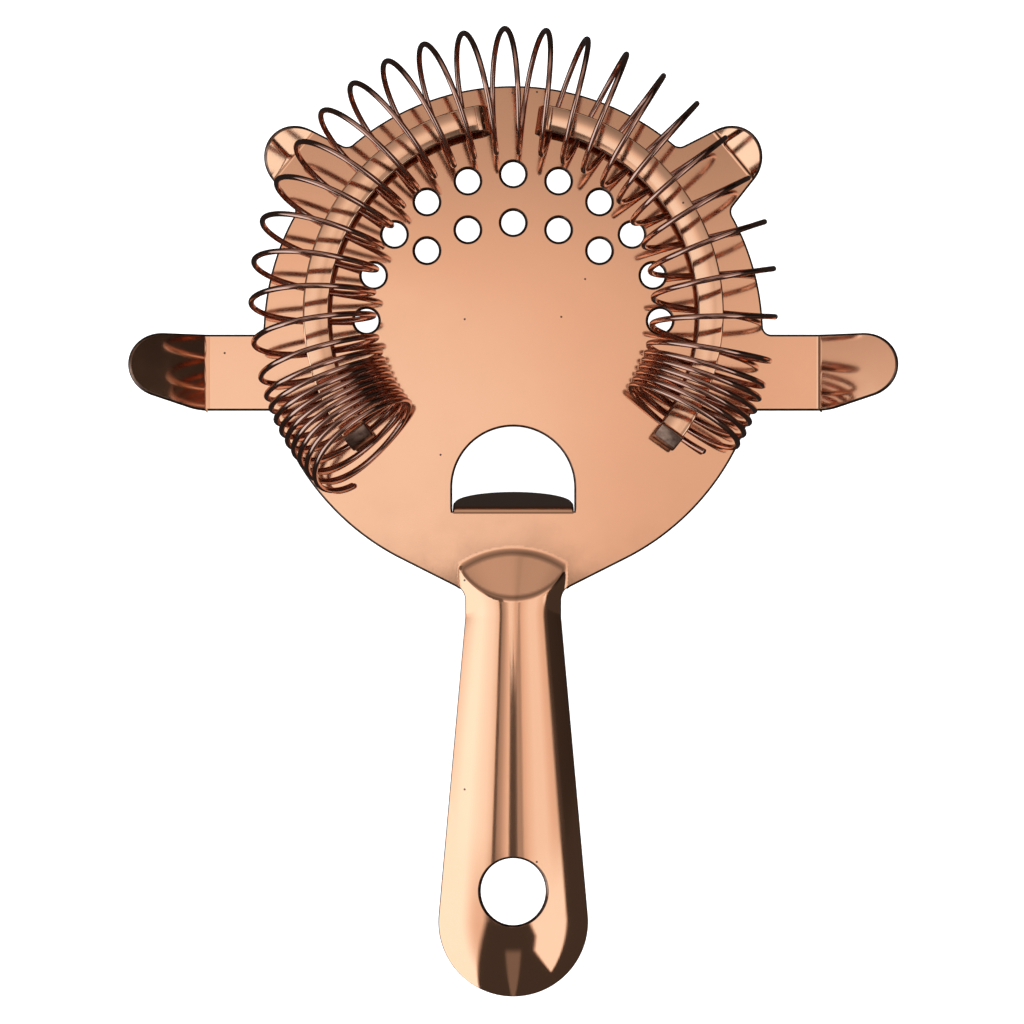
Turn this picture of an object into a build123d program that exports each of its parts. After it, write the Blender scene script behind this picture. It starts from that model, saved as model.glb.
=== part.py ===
from build123d import *
import math
import os

# Hawthorne strainer: a flat perforated disc with four rest prongs and a handle, pressed from one sheet,
# two spring rails fixed on the disc, and a coil spring bent into a horseshoe round the rails.
# Millimetres. The origin is the centre of the disc, on the face that carries the spring.
# +X is to the right, +Y points from the handle to the front of the disc, +Z is the spring side.

# Sheet and disc
SHEET = 0.9
DISC_R = 40.0
SHOULDER_ANGLE = 26.7        # where the disc's edge runs straight towards the neck, from -Y
SHOULDER_FILLET = 2.5

# Rest prongs: each tip is bent towards the spring side
TIP_TILT = 30.0
TIP_BEND_R = 2.0
SIDE_BEND_X = 48.4
SIDE_TOP_Y = 0.2
SIDE_LOW_Y = -12.0
SIDE_TIP_X = 55.5
SIDE_TIP_R = 5.1
SIDE_FILLET = 1.3
UPPER_ANGLE = 39.3           # direction of the upper prongs, from +X
UPPER_BEND = 45.1
UPPER_TIP_X = 44.6
UPPER_TIP_R = 5.2
UPPER_FLARE = 12.5           # each edge widens by this angle towards the disc
UPPER_FILLET = 1.5

# Strainer holes: an arc of holes and a shorter second row below it
HOLE_R = 1.9
HOLE_ARC_R = 23.5
HOLE_ARC_Y = 2.4
HOLE_STEP = 18.0
HOLE_ROW_DROP = 7.8

# Finger opening and its folded tab
FINGER_R = 9.76
FINGER_ARC_Y = -24.3
FINGER_FOLD_Y = -28.6
TAB_KERF = 0.15
TAB_FOLD = 79.0
TAB_BEND_R = 0.5

# Handle: an arched shell that swells from the neck to a domed end
NECK_HALF = 7.9
NECK_Y = -45.0
END_HALF = 12.2
END_Y = -93.8
NECK_ARCH_R = 11.6
NECK_CROWN = 3.0
END_ARCH_R = 20.5
END_CROWN = 3.9
RAMP_TOP_Y = -34.6           # where the disc starts to rise to the handle's crown
RAMP_R = 15.2
RAMP_SLOPE = 22.0
HANG_HOLE_R = 5.3
HANG_HOLE_Y = -88.4

# Spring rails
RAIL_Y = 3.35                # centre of the rails' circle
RAIL_R = 31.3
RAIL_W = 4.1
RAIL_T = 0.9
RAIL_Z = 3.2                 # underside of the strip
RAIL_TOP_ANGLE = 10.9        # the strip's ends, measured from +Y
RAIL_LOW_ANGLE = 127.9
FOOT_BEND_R = 1.0
HOOK_BEND_R = 1.1
HOOK_CURL = 145.0
HOOK_TAIL = 2.0

# Coil spring
WIRE_R = 0.44
COIL_R = 9.5                 # mean radius of a turn
COIL_Z = 10.2
COIL_PUSH = 2.8              # how far the relaxed front stands out past the rails' circle
PUSH_FULL = 40.0             # up to this angle the front stands out fully
PUSH_NONE = 125.0            # from this angle it follows the rails
COIL_START = -132.8          # angle of the first turn from +Y, clockwise
LEFT_CLOSED = 8.0            # turns that lie against each other at each end
OPEN_TURNS = 25.5
RIGHT_CLOSED = 5.5
CLOSED_PITCH = 2.8           # degrees round the horseshoe per turn
OPEN_PITCH_LEFT = 8.19       # the open turns spread a little from left to right
OPEN_PITCH_RIGHT = 10.07
PITCH_CHANGE = 2.2           # turns over which the pitch changes
FIRST_PHASE = 310.0
LEAN_LEFT = 0.74             # how far a turn's top lies clockwise of its middle
LEAN_RIGHT = -0.33
LEAN_FROM = -5.0             # angles between which the lean changes
LEAN_TO = 35.0
END_LEAN_LEFT = 2.2          # extra lean of the first and last turn
END_LEAN_RIGHT = -1.1
CORNERS = 6                  # corners per turn of the wire's route
CORNER_OUT = 1.144           # a corner's radius over the turn's mean radius

os.makedirs("parts", exist_ok=True)


def smooth(value):
    value = min(1.0, max(0.0, value))
    return value * value * (3.0 - 2.0 * value)


def slab(x0, x1, y0, y1, z0, z1):
    box = Box(x1 - x0, y1 - y0, z1 - z0, align=(Align.MIN, Align.MIN, Align.MIN))
    return Pos(x0, y0, z0) * box


def polygon(*points):
    return make_face(Polyline(*points, close=True))


def round_corner(face, x, y, radius):
    corner = face.vertices().sort_by_distance((x, y, 0))[0]
    return fillet(corner, radius)


# --- strainer plate ---------------------------------------------------------------------------

def side_prong():
    """Right-hand prong, flat: straight upper edge, lower edge tapering onto the round tip."""
    tip_y = SIDE_TOP_Y - SIDE_TIP_R
    dx = SIDE_TIP_X - SIDE_BEND_X
    dy = tip_y - SIDE_LOW_Y
    reach = math.hypot(dx, dy)
    slope = math.atan2(dy, dx) - math.asin(SIDE_TIP_R / reach)
    length = math.sqrt(reach**2 - SIDE_TIP_R**2)
    touch = (SIDE_BEND_X + length * math.cos(slope), SIDE_LOW_Y + length * math.sin(slope))
    root_x = DISC_R * 0.8
    body = polygon(
        (root_x, SIDE_TOP_Y), (SIDE_TIP_X, SIDE_TOP_Y), (SIDE_TIP_X, tip_y), touch,
        (SIDE_BEND_X, SIDE_LOW_Y), (root_x, SIDE_LOW_Y),
    )
    return body + Pos(SIDE_TIP_X, tip_y) * Circle(SIDE_TIP_R)


def upper_prong():
    """Upper prong, flat, along +X: a round tip on a root that flares towards the disc."""
    flare = math.radians(UPPER_FLARE)
    touch_x = UPPER_TIP_X + UPPER_TIP_R * math.sin(flare)
    touch_y = UPPER_TIP_R * math.cos(flare)
    root_x = DISC_R * 0.88
    root_y = touch_y + (touch_x - root_x) * math.tan(flare)
    body = polygon((root_x, root_y), (touch_x, touch_y), (touch_x, -touch_y), (root_x, -root_y))
    return body + Pos(UPPER_TIP_X, 0) * Circle(UPPER_TIP_R)


def split_prong(face, bend_x):
    """The prong's flat root, and the part past the bend line."""
    reach = 2.0 * DISC_R
    beyond = Pos(bend_x, 0) * Rectangle(reach, reach, align=(Align.MIN, Align.CENTER))
    return face - beyond, face & beyond


def bent_tip(tip, bend_x, low_y, high_y):
    """The tip turned up about the bend line, with the bend between it and the root."""
    axis = Axis((bend_x, 0, TIP_BEND_R), (0, -1, 0))
    section = Plane.YZ.offset(bend_x) * polygon(
        (low_y, -SHEET), (high_y, -SHEET), (high_y, 0), (low_y, 0))
    bend = revolve(section, axis, TIP_TILT)
    leaf = extrude(tip, -SHEET).rotate(axis, TIP_TILT)
    return bend + leaf


def shoulder_points():
    """Where the shoulder leaves the disc's circle, and where it meets the neck."""
    shoulder = math.radians(SHOULDER_ANGLE)
    leave = (DISC_R * math.sin(shoulder), -DISC_R * math.cos(shoulder))
    corner_y = leave[1] - (leave[0] - NECK_HALF) * math.tan(shoulder)
    return leave, corner_y


def disc_outline(side_root, upper_root):
    """Disc, shoulders down to the neck, and the roots of the four prongs."""
    leave, corner_y = shoulder_points()
    stub_y = NECK_Y + 1.0
    neck = polygon(
        leave, (NECK_HALF, corner_y), (NECK_HALF, stub_y),
        (-NECK_HALF, stub_y), (-NECK_HALF, corner_y), (-leave[0], leave[1]),
    )
    for side in (1, -1):
        neck = round_corner(neck, side * NECK_HALF, corner_y, SHOULDER_FILLET)
    outline = Circle(DISC_R) + neck + side_root + mirror(side_root, Plane.YZ)
    outline += Rot(0, 0, UPPER_ANGLE) * upper_root + Rot(0, 0, 180 - UPPER_ANGLE) * upper_root
    root_half = UPPER_TIP_R * 1.24
    spread = math.degrees(math.asin(root_half / DISC_R))
    for side in (1, -1):
        outline = round_corner(outline, side * DISC_R, SIDE_TOP_Y, SIDE_FILLET)
        for turn in (-spread, spread):
            angle = math.radians(UPPER_ANGLE + turn)
            x = DISC_R * math.cos(angle)
            y = DISC_R * math.sin(angle)
            outline = round_corner(outline, side * x, y, UPPER_FILLET)
    return outline


def finger_shape(inset):
    """D shape standing on the fold line."""
    half = FINGER_R - inset
    height = FINGER_ARC_Y - FINGER_FOLD_Y
    foot = Pos(0, FINGER_FOLD_Y) * Rectangle(2 * half, height, align=(Align.CENTER, Align.MIN))
    return foot + Pos(0, FINGER_ARC_Y) * Circle(half) - Pos(0, FINGER_FOLD_Y) * Rectangle(
        4 * half, 4 * half, align=(Align.CENTER, Align.MAX))


def finger_tab():
    """The D punched out of the opening, folded down about its straight edge."""
    axis = Axis((0, FINGER_FOLD_Y, -SHEET - TAB_BEND_R), (-1, 0, 0))
    half = FINGER_R - TAB_KERF
    section = Plane.XZ.offset(-FINGER_FOLD_Y) * polygon(
        (-half, -SHEET), (half, -SHEET), (half, 0), (-half, 0))
    bend = revolve(section, axis, TAB_FOLD)
    used = math.radians(TAB_FOLD) * (TAB_BEND_R + SHEET / 2)
    behind = Pos(0, FINGER_FOLD_Y) * Rectangle(
        4 * half, 4 * half, align=(Align.CENTER, Align.MAX))
    flat = Pos(0, -used) * finger_shape(TAB_KERF) - behind
    leaf = extrude(flat, -SHEET).rotate(axis, TAB_FOLD)
    return bend + leaf


def strainer_holes():
    holes = []
    for step in range(-5, 6):
        angle = math.radians(step * HOLE_STEP)
        x = HOLE_ARC_R * math.sin(angle)
        y = HOLE_ARC_Y + HOLE_ARC_R * math.cos(angle)
        holes.append(Pos(x, y, 0) * Cylinder(HOLE_R, 4 * SHEET))
        if abs(step) <= 2:
            holes.append(Pos(x, y - HOLE_ROW_DROP, 0) * Cylinder(HOLE_R, 4 * SHEET))
    return holes


def arch_body(inset):
    """Ball-nosed cone whose upper surface is the handle's crown, moved in by inset."""
    run = NECK_Y - END_Y
    fall = (NECK_CROWN - NECK_ARCH_R) - (END_CROWN - END_ARCH_R)
    length = math.hypot(run, fall)
    taper = math.asin((END_ARCH_R - NECK_ARCH_R) / length)
    along = Vector(0, -run, -fall).normalized()
    plane = Plane((0, NECK_Y, NECK_CROWN - NECK_ARCH_R), x_dir=along, z_dir=(-1, 0, 0))
    big = END_ARCH_R - inset
    small = NECK_ARCH_R - inset
    back = NECK_Y - RAMP_TOP_Y
    start = (back, small / math.cos(taper) + back * math.tan(taper))
    touch = (length - big * math.sin(taper), big * math.cos(taper))
    nose = (length + big, 0)
    bow_angle = (math.pi / 2 + taper) / 2
    bow = (length + big * math.cos(bow_angle), big * math.sin(bow_angle))
    edges = [
        Line((back, 0), start), Line(start, touch),
        ThreePointArc(touch, bow, nose), Line(nose, (back, 0)),
    ]
    return revolve(plane * make_face(edges), Axis(plane.origin, along), 360)


def ramp_body(inset):
    """Shallow cone that rises from the disc to the crown, then everything past the neck."""
    slope = math.radians(RAMP_SLOPE)
    drop = inset / math.cos(slope)
    deep = 8.0
    foot_r = RAMP_R + deep / math.tan(slope)
    height = foot_r * math.tan(slope)
    base_z = -deep - drop
    centre_y = RAMP_TOP_Y - RAMP_R
    cone = Pos(0, centre_y, base_z) * Cone(
        foot_r, 0, height, align=(Align.CENTER, Align.CENTER, Align.MIN))
    tail = slab(-30, 30, END_Y - 30, NECK_Y, -40, 20)
    return cone + tail


def handle_outline():
    """Tapered handle with a round end."""
    lean = math.atan2(END_HALF - NECK_HALF, NECK_Y - END_Y)
    touch_x = END_HALF * math.cos(lean)
    touch_y = END_Y + END_HALF * math.sin(lean)
    body = polygon(
        (-NECK_HALF, NECK_Y), (NECK_HALF, NECK_Y), (touch_x, touch_y), (-touch_x, touch_y))
    return body + Pos(0, END_Y) * Circle(END_HALF)


def strainer_plate():
    side_root, side_tip = split_prong(side_prong(), SIDE_BEND_X)
    upper_root, upper_tip = split_prong(upper_prong(), UPPER_BEND)
    plate = extrude(disc_outline(side_root, upper_root), -SHEET)

    over = arch_body(0) & ramp_body(0)
    under = arch_body(SHEET) & ramp_body(SHEET)
    reach = 10.0
    corner_y = shoulder_points()[1]
    grip = extrude(handle_outline(), reach, both=True)
    neck = slab(-NECK_HALF, NECK_HALF, NECK_Y, corner_y, -SHEET, reach)
    rise = slab(-DISC_R, DISC_R, corner_y, RAMP_TOP_Y, -SHEET, reach)
    plate = plate + (over & (grip + neck + rise)) - under

    side_bent = bent_tip(side_tip, SIDE_BEND_X, SIDE_LOW_Y, SIDE_TOP_Y)
    upper_half = math.sqrt(UPPER_TIP_R**2 - (UPPER_BEND - UPPER_TIP_X)**2)
    upper_bent = bent_tip(upper_tip, UPPER_BEND, -upper_half, upper_half)
    plate = plate + side_bent + mirror(side_bent, Plane.YZ)
    plate = plate + Rot(0, 0, UPPER_ANGLE) * upper_bent + Rot(0, 0, 180 - UPPER_ANGLE) * upper_bent

    plate = plate - extrude(finger_shape(0), SHEET, both=True) + finger_tab()
    plate = plate - Pos(0, HANG_HOLE_Y, 0) * Cylinder(HANG_HOLE_R, 4 * reach)
    return plate - strainer_holes()


# --- spring rails -----------------------------------------------------------------------------

def rail_end(angle):
    """Centre of the strip at this angle, its outward direction and its clockwise direction."""
    a = math.radians(angle)
    centre = Vector(RAIL_R * math.sin(a), RAIL_Y + RAIL_R * math.cos(a), RAIL_Z + RAIL_T / 2)
    outward = Vector(math.sin(a), math.cos(a), 0)
    clockwise = Vector(math.cos(a), -math.sin(a), 0)
    return centre, outward, clockwise


def rail_section(angle):
    centre, outward, clockwise = rail_end(angle)
    return Plane(centre, x_dir=outward, z_dir=clockwise) * Rectangle(RAIL_W, RAIL_T)


def right_rail():
    centre, outward, clockwise = rail_end(RAIL_TOP_ANGLE)
    section = rail_section(RAIL_TOP_ANGLE)
    strip = revolve(section, Axis((0, RAIL_Y, 0), (0, 0, -1)), RAIL_LOW_ANGLE - RAIL_TOP_ANGLE)

    foot_axis = Axis(Vector(centre.X, centre.Y, RAIL_Z - FOOT_BEND_R), outward * -1)
    foot_bend = revolve(section, foot_axis, 90)
    shin = extrude(section, RAIL_Z - FOOT_BEND_R, dir=clockwise * -1)
    rail = strip + foot_bend + shin.rotate(foot_axis, 90)

    centre, outward, clockwise = rail_end(RAIL_LOW_ANGLE)
    section = rail_section(RAIL_LOW_ANGLE)
    hook_z = RAIL_Z + RAIL_T + HOOK_BEND_R
    hook_axis = Axis(Vector(centre.X, centre.Y, hook_z), outward * -1)
    hook_bend = revolve(section, hook_axis, HOOK_CURL)
    tail = extrude(section, HOOK_TAIL, dir=clockwise)
    return rail + hook_bend + tail.rotate(hook_axis, HOOK_CURL)


# --- coil spring ------------------------------------------------------------------------------

def coil_pitch(turn):
    """Degrees round the horseshoe per turn: close-wound ends, open middle."""
    past_left = turn - LEFT_CLOSED
    before_right = OPEN_TURNS - past_left
    opened = smooth(past_left / PITCH_CHANGE) * smooth(before_right / PITCH_CHANGE)
    spread = (OPEN_PITCH_RIGHT - OPEN_PITCH_LEFT) * past_left / OPEN_TURNS
    return CLOSED_PITCH + (OPEN_PITCH_LEFT + spread - CLOSED_PITCH) * opened


def coil_lean(angle, turn):
    """How far a turn's top lies clockwise of its middle, and its foot the other way."""
    change = smooth((angle - LEAN_FROM) / (LEAN_TO - LEAN_FROM))
    left_end = smooth((LEFT_CLOSED - turn) / LEFT_CLOSED)
    right_end = smooth((turn - LEFT_CLOSED - OPEN_TURNS) / RIGHT_CLOSED)
    middle = LEAN_LEFT + (LEAN_RIGHT - LEAN_LEFT) * change
    return middle + END_LEAN_LEFT * left_end + END_LEAN_RIGHT * right_end


def coil_point(angle, phase, lean):
    """Corner of the wire's route: angle round the horseshoe, phase round the turn."""
    corner_r = COIL_R * CORNER_OUT
    push = COIL_PUSH * (1.0 - smooth((abs(angle) - PUSH_FULL) / (PUSH_NONE - PUSH_FULL)))
    a = math.radians(angle) + lean * CORNER_OUT * math.sin(phase) / RAIL_R
    radius = RAIL_R + corner_r * math.cos(phase)
    height = COIL_Z + corner_r * math.sin(phase)
    return (radius * math.sin(a), RAIL_Y + push + radius * math.cos(a), height)


def coil_spring():
    turns = LEFT_CLOSED + OPEN_TURNS + RIGHT_CLOSED
    steps = round(turns * CORNERS)
    angle = COIL_START
    points = []
    for step in range(steps + 1):
        phase = math.radians(FIRST_PHASE + 360.0 * step / CORNERS)
        lean = coil_lean(angle, step / CORNERS)
        points.append(Vector(*coil_point(angle, phase, lean)))
        angle += coil_pitch((step + 0.5) / CORNERS) / CORNERS
    radii = []
    for before, corner, after in zip(points, points[1:], points[2:]):
        run_in = corner - before
        run_out = after - corner
        turn = math.radians(run_in.get_angle(run_out))
        radii.append(0.45 * min(run_in.length, run_out.length) / math.tan(turn / 2))
    route = FilletPolyline(*points, radius=radii)
    section = Plane(route @ 0, z_dir=route % 0) * Circle(WIRE_R)
    wire = sweep(section, path=route)
    print("coil wire: length %.1f, volume %.1f, section times length %.1f, last angle %.1f" % (
        route.length, wire.volume, math.pi * WIRE_R**2 * route.length, angle))
    return wire


export_step(strainer_plate(), "parts/strainer_plate.step")
rail = right_rail()
export_step(rail, "parts/right_spring_rail.step")
export_step(mirror(rail, Plane.YZ), "parts/left_spring_rail.step")
export_step(coil_spring(), "parts/coil_spring.step")
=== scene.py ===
import math

import bpy
import numpy as np
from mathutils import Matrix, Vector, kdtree
from mathutils.geometry import delaunay_2d_cdt


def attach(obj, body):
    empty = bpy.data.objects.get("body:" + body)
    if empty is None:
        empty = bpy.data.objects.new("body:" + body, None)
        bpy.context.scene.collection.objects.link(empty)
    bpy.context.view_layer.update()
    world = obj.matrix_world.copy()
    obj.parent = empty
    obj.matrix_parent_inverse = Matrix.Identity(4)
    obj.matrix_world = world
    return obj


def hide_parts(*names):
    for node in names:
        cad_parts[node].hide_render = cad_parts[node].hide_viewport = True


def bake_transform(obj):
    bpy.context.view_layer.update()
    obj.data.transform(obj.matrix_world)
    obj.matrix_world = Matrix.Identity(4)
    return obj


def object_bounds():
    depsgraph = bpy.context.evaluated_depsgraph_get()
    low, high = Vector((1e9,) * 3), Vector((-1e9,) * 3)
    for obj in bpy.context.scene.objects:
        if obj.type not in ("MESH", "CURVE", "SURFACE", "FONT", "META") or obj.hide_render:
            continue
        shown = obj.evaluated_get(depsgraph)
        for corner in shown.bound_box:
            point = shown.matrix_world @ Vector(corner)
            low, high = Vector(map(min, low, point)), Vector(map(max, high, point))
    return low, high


# Hawthorne strainer. The CAD model is the frame; this script gives the four pieces their finished
# meshes and their polished copper finish. Lengths below are in millimetres, and the meshes are
# written in metres. +Z is the spring side, +Y points from the handle to the front of the disc.

MM = 0.001

# Sheet metal
SHEET = 0.9
EDGE_R = 0.34
HOLE_EDGE_R = 0.44
EDGE_PROFILE = (  # tilt in degrees, and how far in and down it is, in parts of the rounding
    (20, 0.93, 0.01), (45, 0.83, 0.08), (52, 0.55, 0.42), (60, 0.2, 0.86), (90, 0.0, 1.0))
DISC_R = 40.0
SHOULDER_ANGLE = 26.7
SHOULDER_FILLET = 2.5

# Prongs
TIP_TILT = math.radians(30.0)
TIP_BEND_R = 2.0
SIDE_BEND_X = 48.4
SIDE_TOP_Y = 0.2
SIDE_LOW_Y = -12.0
SIDE_TAPER_X = 50.4
SIDE_TIP_X = 55.5
SIDE_TIP_R = 5.1
SIDE_FILLET = 1.3
SIDE_TAPER_FILLET = 9.0
CREASE_FILLET = 0.5
UPPER_ANGLE = math.radians(39.3)
UPPER_BEND = 45.1
UPPER_TIP_X = 44.6
UPPER_TIP_R = 5.2
UPPER_FLARE = math.radians(12.5)
UPPER_FILLET = 1.5

# Openings
HOLE_R = 1.9
HOLE_ARC_R = 23.5
HOLE_ARC_Y = 2.4
HOLE_STEP = math.radians(18.0)
HOLE_ROW_DROP = 7.8
FIRST_ROW_EACH_SIDE = 5
SECOND_ROW_EACH_SIDE = 2
FINGER_R = 9.76
FINGER_ARC_Y = -24.3
FINGER_FOLD_Y = -28.6
TAB_KERF = 0.06
KERF_CLEAR = 0.5
TAB_FOLD = math.radians(79.0)
TAB_BEND_R = 0.5

# Handle
NECK_HALF = 7.9
NECK_Y = -45.0
END_HALF = 12.2
END_Y = -93.8
NECK_ARCH_R = 11.6
NECK_CROWN = 3.0
END_ARCH_R = 20.5
END_CROWN = 3.9
RAMP_TOP_Y = -34.6
RAMP_R = 15.2
RAMP_SLOPE = math.radians(22.0)
RAMP_ARCH_R = 19.0
RAMP_SOFT = 0.25
FLANK_SOFT = 0.35
FLAT_END_Y = -40.5
FLAT_FADE = 4.0
FAR_BELOW = -12.0
FAR_ABOVE = 100.0
HANG_HOLE_R = 5.3
HANG_HOLE_Y = -88.4

# Mesh spacing on the plate: the pressed neck, the handle, the flat disc, and along the bends
NECK_SPACING = 0.36
HANDLE_SPACING = 0.8
DISC_SPACING = 3.0
BEND_SPACING = 0.5

# Rails
RAIL_Y = 3.35
RAIL_R = 31.3
RAIL_W = 4.1
RAIL_T = 0.9
RAIL_Z = 3.2
RAIL_EDGE_R = 0.3
RAIL_LEAN = math.radians(2.5)
RAIL_TOP_ANGLE = math.radians(10.9)
RAIL_LOW_ANGLE = math.radians(127.9)
FOOT_BEND_R = 1.0
HOOK_BEND_R = 1.1
HOOK_CURL = math.radians(145.0)
HOOK_TAIL = 2.0
FOOT_HEIGHTS = (0.0, 0.15, 0.35, 0.7, 1.2, 1.7)
FOOT_FLARE = (0.3, 0.15, 0.05)
BEND_STEPS = 12
CURL_STEPS = 24
RAIL_STEPS = 110
TAIL_END_STEPS = 4

# Coil
WIRE_R = 0.44
COIL_R = 9.5
COIL_Z = 10.2
COIL_PUSH = 2.8
PUSH_FULL = 40.0
PUSH_NONE = 125.0
COIL_START = -132.8
LEFT_CLOSED = 8.0
OPEN_TURNS = 25.5
RIGHT_CLOSED = 5.5
CLOSED_PITCH = 2.8
OPEN_PITCH_LEFT = 8.19
OPEN_PITCH_RIGHT = 10.07
PITCH_CHANGE = 2.2
FIRST_PHASE = 310.0
LEAN_LEFT = 0.74
LEAN_RIGHT = -0.33
LEAN_FROM = -5.0
LEAN_TO = 35.0
END_LEAN_LEFT = 2.2
END_LEAN_RIGHT = -1.1
COIL_STEPS = 60
COIL_SIDES = 14
WIRE_END_R = 0.15
WIRE_END_STEPS = 4

# Camera: looks straight down, between the disc's centre and the handle
CAMERA_X = -0.2
CAMERA_Y = -28.2
CAMERA_HEIGHT = 390.0
VIEW_WIDTH = 163.8

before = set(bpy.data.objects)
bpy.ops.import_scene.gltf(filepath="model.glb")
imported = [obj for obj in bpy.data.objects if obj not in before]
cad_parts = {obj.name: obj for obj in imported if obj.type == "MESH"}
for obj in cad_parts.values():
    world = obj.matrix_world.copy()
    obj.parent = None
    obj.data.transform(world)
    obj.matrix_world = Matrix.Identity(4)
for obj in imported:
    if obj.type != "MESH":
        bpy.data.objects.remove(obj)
cad_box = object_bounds()


def smooth(value):
    value = np.clip(value, 0.0, 1.0)
    return value * value * (3.0 - 2.0 * value)


def soft_min(a, b, width):
    h = np.clip(0.5 + 0.5 * (b - a) / width, 0.0, 1.0)
    return b * (1.0 - h) + a * h - width * h * (1.0 - h)


def make_mesh(name, points, faces, normals=None, edge_faces=None):
    mesh = bpy.data.meshes.new(name)
    mesh.from_pydata([tuple(p) for p in np.asarray(points) * MM], [], faces)
    mesh.polygons.foreach_set("use_smooth", [True] * len(mesh.polygons))
    if edge_faces is not None:
        mesh.polygons.foreach_set("material_index", edge_faces)
    if normals is not None:
        mesh.normals_split_custom_set_from_vertices([tuple(n) for n in normals])
    mesh.update()
    piece = bpy.data.objects.new(name, mesh)
    bpy.context.scene.collection.objects.link(piece)
    return piece


# --- plate: from the flat pattern to the pressed shape ---------------------------------------

def crown_height(x, y):
    """Top of the handle: the upper side of a cone that ends in a sphere."""
    run = NECK_Y - END_Y
    low = NECK_CROWN - NECK_ARCH_R
    fall = low - (END_CROWN - END_ARCH_R)
    length = math.hypot(run, fall)
    ca = run / length
    sa = fall / length
    taper = math.asin((END_ARCH_R - NECK_ARCH_R) / length)
    st = math.sin(taper)
    ct2 = math.cos(taper) ** 2
    u = NECK_Y - y
    base = NECK_ARCH_R + u * ca * st
    a = ct2 * ca * ca - sa * sa * st * st
    b = 2.0 * (ct2 * u * sa * ca + base * sa * st)
    c = ct2 * (x * x + u * u * sa * sa) - base * base
    v = (-b + np.sqrt(np.maximum(b * b - 4.0 * a * c, 0.0))) / (2.0 * a)
    along = u * ca - v * sa
    ball = END_ARCH_R**2 - x * x - (u - run) ** 2
    dome = END_CROWN - END_ARCH_R + np.sqrt(np.maximum(ball, 0.0))
    return np.where(along > length - END_ARCH_R * st, dome, low + v)


def plate_top(x, y):
    """Height of the sheet's spring side: flat disc, ramp up from it, then the handle's crown.

    The ramp is out of the way behind its centre, and the flat is out of the way on the handle.
    """
    ramp_centre = RAMP_TOP_Y - RAMP_R
    reach = np.hypot(x, y - ramp_centre)
    ramp = math.tan(RAMP_SLOPE) * (RAMP_R - reach)
    ramp = np.where(y < ramp_centre, FAR_ABOVE, ramp)
    widening = smooth((y - NECK_Y) / (RAMP_TOP_Y - NECK_Y))
    radius = NECK_ARCH_R + (RAMP_ARCH_R - NECK_ARCH_R) * widening
    wide = np.sqrt(np.maximum(radius**2 - x * x, 0.0)) - radius
    narrow = np.sqrt(np.maximum(NECK_ARCH_R**2 - x * x, 0.0)) - NECK_ARCH_R
    crown = crown_height(x, y) + np.where(y > NECK_Y, wide - narrow, 0.0)
    crown = soft_min(crown, ramp, RAMP_SOFT)
    flat = FAR_BELOW * smooth((FLAT_END_Y - y) / FLAT_FADE)
    pressed = -soft_min(-crown, -flat, FLANK_SOFT)
    return np.where(y > RAMP_TOP_Y + 2.0, 0.0, pressed)


def fold(run, radius, angle):
    """Distance gone, height gained and slope after following a bend for this length."""
    slope = np.clip(run / radius, 0.0, angle)
    past = np.maximum(run - radius * angle, 0.0)
    gone = radius * np.sin(slope) + past * np.cos(slope)
    gain = radius * (1.0 - np.cos(slope)) + past * np.sin(slope)
    return gone, gain, slope


def on_tab(x, y):
    half = FINGER_R - TAB_KERF / 2
    round_part = np.hypot(x, y - FINGER_ARC_Y) < half
    square_part = (np.abs(x) < half) & (y < FINGER_ARC_Y)
    return (y > FINGER_FOLD_Y) & (round_part | square_part)


def plate_surface(flat):
    """Mid-surface points and upward normals for points of the flat pattern."""
    x = flat[:, 0]
    y = flat[:, 1]
    step = 0.01
    top = plate_top(x, y)
    slope_x = (plate_top(x + step, y) - plate_top(x - step, y)) / (2 * step)
    slope_y = (plate_top(x, y + step) - plate_top(x, y - step)) / (2 * step)
    normal = np.stack([-slope_x, -slope_y, np.ones_like(x)], axis=1)
    normal /= np.linalg.norm(normal, axis=1)[:, None]
    point = np.stack([x, y, top], axis=1) - normal * SHEET / 2

    side = np.where(x < 0, -1.0, 1.0)
    radius = TIP_BEND_R + SHEET / 2
    run = np.abs(x) - SIDE_BEND_X
    bent = run > 0
    gone, gain, slope = fold(run, radius, TIP_TILT)
    tip = np.stack([side * (SIDE_BEND_X + gone), y, gain - SHEET / 2], axis=1)
    tip_normal = np.stack([-side * np.sin(slope), np.zeros_like(x), np.cos(slope)], axis=1)
    point[bent] = tip[bent]
    normal[bent] = tip_normal[bent]

    ca = math.cos(UPPER_ANGLE)
    sa = math.sin(UPPER_ANGLE)
    u = np.abs(x) * ca + y * sa
    v = -np.abs(x) * sa + y * ca
    run = u - UPPER_BEND
    bent = (run > 0) & (np.abs(v) < 2 * UPPER_TIP_R)
    gone, gain, slope = fold(run, radius, TIP_TILT)
    along = UPPER_BEND + gone
    tip = np.stack([side * (along * ca - v * sa), along * sa + v * ca, gain - SHEET / 2], axis=1)
    lean = -np.sin(slope)
    tip_normal = np.stack([side * lean * ca, lean * sa, np.cos(slope)], axis=1)
    point[bent] = tip[bent]
    normal[bent] = tip_normal[bent]

    bent = on_tab(x, y)
    gone, gain, slope = fold(y - FINGER_FOLD_Y, TAB_BEND_R + SHEET / 2, TAB_FOLD)
    tip = np.stack([x, FINGER_FOLD_Y + gone, -gain - SHEET / 2], axis=1)
    tip_normal = np.stack([np.zeros_like(x), np.sin(slope), np.cos(slope)], axis=1)
    point[bent] = tip[bent]
    normal[bent] = tip_normal[bent]
    return point, normal


# --- plate: outline of the flat pattern ------------------------------------------------------

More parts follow.
